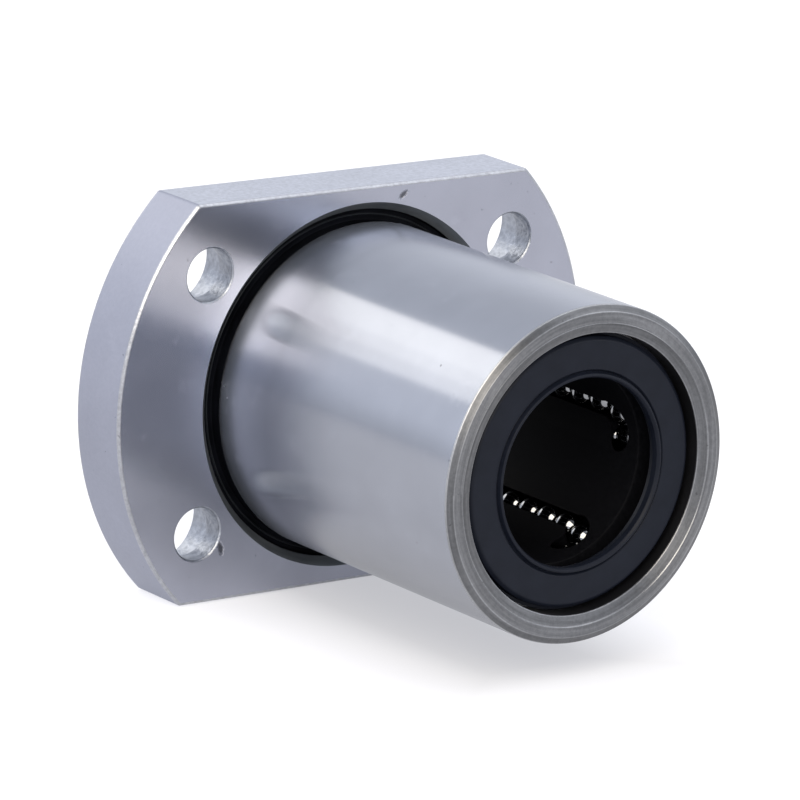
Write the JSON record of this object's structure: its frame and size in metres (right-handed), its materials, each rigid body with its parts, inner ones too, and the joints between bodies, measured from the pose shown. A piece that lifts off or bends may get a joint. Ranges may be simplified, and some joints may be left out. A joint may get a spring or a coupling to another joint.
{
  "type": "flanged linear ball bushing",
  "caption": "Linear ball bushing with a two-side-cut flange, a plain tube, rubber lip seals and recirculating ball rows round its bore.",
  "frame": {"origin": "on the bore axis at half the bushing's length, the centre of its box", "axes": "+Y runs along the bore axis from the plain tube end towards the flange, +X along the flange's long direction, +Z square to the flange's two flats"},
  "size_m": [0.048, 0.037, 0.034],
  "materials": {
    "ground_steel": "hardened bearing steel, fine ground and polished, satin on the flange's rim and flats",
    "spring_steel": "plain spring steel",
    "bearing_balls": "mirror-polished bearing steel",
    "black_resin": "black moulded resin, lightly oiled",
    "seal_rubber": "black nitrile rubber, satin, smooth moulded"
  },
  "bodies": {
    "bushing": {"flanged_sleeve": "ground_steel", "ball_retainer": "black_resin", "front_end_ring": "spring_steel", "rear_end_ring": "spring_steel", "front_seal_washer": "spring_steel", "rear_seal_washer": "spring_steel", "front_seal": "seal_rubber", "rear_seal": "seal_rubber"},
    "load_row_1": {"load_balls_1": "bearing_balls"},
    "return_row_1": {"return_balls_1": "bearing_balls"},
    "front_turn_1": {"front_turn_balls_1": "bearing_balls"},
    "rear_turn_1": {"rear_turn_balls_1": "bearing_balls"},
    "load_row_2": {"load_balls_2": "bearing_balls"},
    "return_row_2": {"return_balls_2": "bearing_balls"},
    "front_turn_2": {"front_turn_balls_2": "bearing_balls"},
    "rear_turn_2": {"rear_turn_balls_2": "bearing_balls"},
    "load_row_3": {"load_balls_3": "bearing_balls"},
    "return_row_3": {"return_balls_3": "bearing_balls"},
    "front_turn_3": {"front_turn_balls_3": "bearing_balls"},
    "rear_turn_3": {"rear_turn_balls_3": "bearing_balls"},
    "load_row_4": {"load_balls_4": "bearing_balls"},
    "return_row_4": {"return_balls_4": "bearing_balls"},
    "front_turn_4": {"front_turn_balls_4": "bearing_balls"},
    "rear_turn_4": {"rear_turn_balls_4": "bearing_balls"},
    "load_row_5": {"load_balls_5": "bearing_balls"},
    "return_row_5": {"return_balls_5": "bearing_balls"},
    "front_turn_5": {"front_turn_balls_5": "bearing_balls"},
    "rear_turn_5": {"rear_turn_balls_5": "bearing_balls"}
  },
  "joints": [
    {"name": "load_row_1_run", "type": "slide", "parent": "bushing", "child": "load_row_1", "axis": [0, 1, 0], "range_m": [-0.00121, 0.00121]},
    {"name": "return_row_1_run", "type": "slide", "parent": "bushing", "child": "return_row_1", "axis": [0, 1, 0], "range_m": [-0.00121, 0.00121]},
    {"name": "front_turn_1_run", "type": "hinge", "parent": "bushing", "child": "front_turn_1", "pos_m": [0.00929, -0.01089, 0.00163], "axis": [-0.9205, 0, -0.3906], "range_deg": [-45.01, 45.01]},
    {"name": "rear_turn_1_run", "type": "hinge", "parent": "bushing", "child": "rear_turn_1", "pos_m": [0.00929, 0.01089, 0.00163], "axis": [-0.9205, 0, -0.3906], "range_deg": [-45.01, 45.01]},
    {"name": "load_row_2_run", "type": "slide", "parent": "bushing", "child": "load_row_2", "axis": [0, 1, 0], "range_m": [-0.00121, 0.00121]},
    {"name": "return_row_2_run", "type": "slide", "parent": "bushing", "child": "return_row_2", "axis": [0, 1, 0], "range_m": [-0.00121, 0.00121]},
    {"name": "front_turn_2_run", "type": "hinge", "parent": "bushing", "child": "front_turn_2", "pos_m": [0.00442, -0.01089, -0.00833], "axis": [-0.656, 0, 0.7548], "range_deg": [-45.01, 45.01]},
    {"name": "rear_turn_2_run", "type": "hinge", "parent": "bushing", "child": "rear_turn_2", "pos_m": [0.00442, 0.01089, -0.00833], "axis": [-0.656, 0, 0.7548], "range_deg": [-45.01, 45.01]},
    {"name": "load_row_3_run", "type": "slide", "parent": "bushing", "child": "load_row_3", "axis": [0, 1, 0], "range_m": [-0.00121, 0.00121]},
    {"name": "return_row_3_run", "type": "slide", "parent": "bushing", "child": "return_row_3", "axis": [0, 1, 0], "range_m": [-0.00121, 0.00121]},
    {"name": "front_turn_3_run", "type": "hinge", "parent": "bushing", "child": "front_turn_3", "pos_m": [-0.00656, -0.01089, -0.00678], "axis": [0.5151, 0, 0.8571], "range_deg": [-45.01, 45.01]},
    {"name": "rear_turn_3_run", "type": "hinge", "parent": "bushing", "child": "rear_turn_3", "pos_m": [-0.00656, 0.01089, -0.00678], "axis": [0.5151, 0, 0.8571], "range_deg": [-45.01, 45.01]},
    {"name": "load_row_4_run", "type": "slide", "parent": "bushing", "child": "load_row_4", "axis": [0, 1, 0], "range_m": [-0.00121, 0.00121]},
    {"name": "return_row_4_run", "type": "slide", "parent": "bushing", "child": "return_row_4", "axis": [0, 1, 0], "range_m": [-0.00121, 0.00121]},
    {"name": "front_turn_4_run", "type": "hinge", "parent": "bushing", "child": "front_turn_4", "pos_m": [-0.00848, -0.01089, 0.00414], "axis": [0.9743, 0, -0.2251], "range_deg": [-45.01, 45.01]},
    {"name": "rear_turn_4_run", "type": "hinge", "parent": "bushing", "child": "rear_turn_4", "pos_m": [-0.00848, 0.01089, 0.00414], "axis": [0.9743, 0, -0.2251], "range_deg": [-45.01, 45.01]},
    {"name": "load_row_5_run", "type": "slide", "parent": "bushing", "child": "load_row_5", "axis": [0, 1, 0], "range_m": [-0.00121, 0.00121]},
    {"name": "return_row_5_run", "type": "slide", "parent": "bushing", "child": "return_row_5", "axis": [0, 1, 0], "range_m": [-0.00121, 0.00121]},
    {"name": "front_turn_5_run", "type": "hinge", "parent": "bushing", "child": "front_turn_5", "pos_m": [0.00132, -0.01089, 0.00934], "axis": [0.087, 0, -0.9962], "range_deg": [-45.01, 45.01]},
    {"name": "rear_turn_5_run", "type": "hinge", "parent": "bushing", "child": "rear_turn_5", "pos_m": [0.00132, 0.01089, 0.00934], "axis": [0.087, 0, -0.9962], "range_deg": [-45.01, 45.01]}
  ],
  "couplings": [
    {"joint": "return_row_1_run", "follows": "load_row_1_run", "ratio": -1},
    {"joint": "front_turn_1_run", "follows": "load_row_1_run", "rad_per_m": 649.09},
    {"joint": "rear_turn_1_run", "follows": "load_row_1_run", "rad_per_m": 649.09},
    {"joint": "return_row_2_run", "follows": "load_row_2_run", "ratio": -1},
    {"joint": "front_turn_2_run", "follows": "load_row_2_run", "rad_per_m": 649.09},
    {"joint": "rear_turn_2_run", "follows": "load_row_2_run", "rad_per_m": 649.09},
    {"joint": "return_row_3_run", "follows": "load_row_3_run", "ratio": -1},
    {"joint": "front_turn_3_run", "follows": "load_row_3_run", "rad_per_m": 649.09},
    {"joint": "rear_turn_3_run", "follows": "load_row_3_run", "rad_per_m": 649.09},
    {"joint": "return_row_4_run", "follows": "load_row_4_run", "ratio": -1},
    {"joint": "front_turn_4_run", "follows": "load_row_4_run", "rad_per_m": 649.09},
    {"joint": "rear_turn_4_run", "follows": "load_row_4_run", "rad_per_m": 649.09},
    {"joint": "return_row_5_run", "follows": "load_row_5_run", "ratio": -1},
    {"joint": "front_turn_5_run", "follows": "load_row_5_run", "rad_per_m": 649.09},
    {"joint": "rear_turn_5_run", "follows": "load_row_5_run", "rad_per_m": 649.09}
  ]
}
